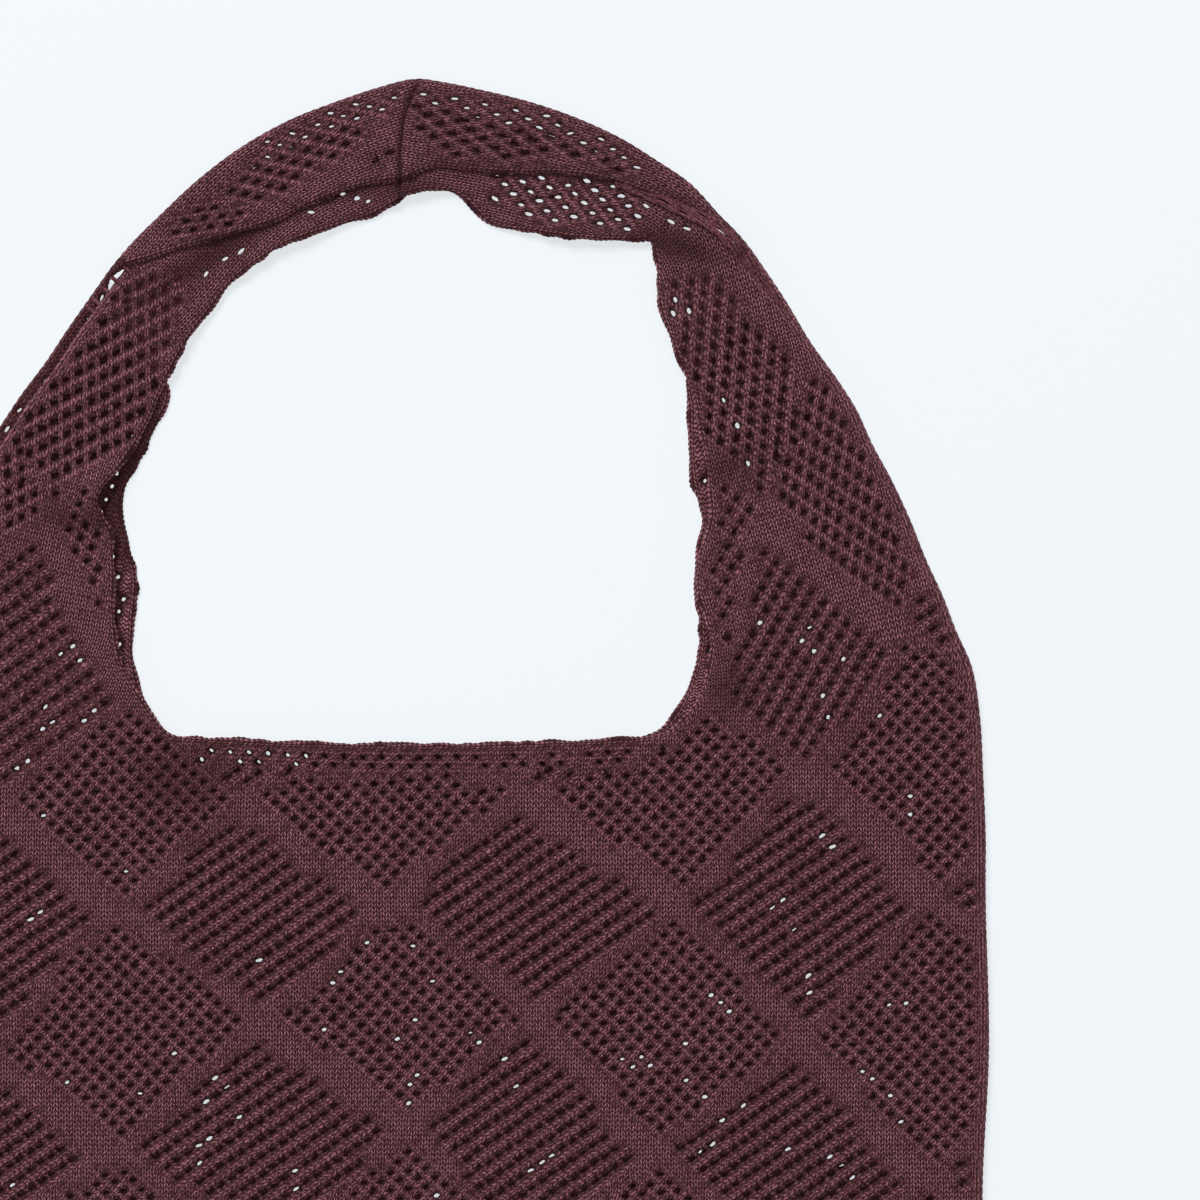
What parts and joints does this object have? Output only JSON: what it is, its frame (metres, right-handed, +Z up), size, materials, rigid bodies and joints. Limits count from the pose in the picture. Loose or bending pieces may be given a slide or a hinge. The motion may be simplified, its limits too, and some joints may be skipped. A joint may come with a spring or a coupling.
{
  "type": "knitted openwork shoulder bag",
  "caption": "Soft machine-knit openwork shoulder bag lying flat, two panels linked at sides and bottom, with a wide looped strap that joins in one seam at the top.",
  "frame": {"origin": "centre of the bag's footprint on the surface that it lies on", "axes": "+Y along the bag from its bottom edge to the top of the strap, +X to the right as the front panel is seen, +Z up out of the front panel"},
  "size_m": [0.4224, 0.6004, 0.0095],
  "materials": {
    "front_knit": "matte maroon knitted yarn",
    "back_knit": "matte maroon knitted yarn, seen from its inside where it shows"
  },
  "bodies": {
    "root": {"front_panel": "front_knit", "back_panel": "back_knit"}
  },
  "joints": []
}
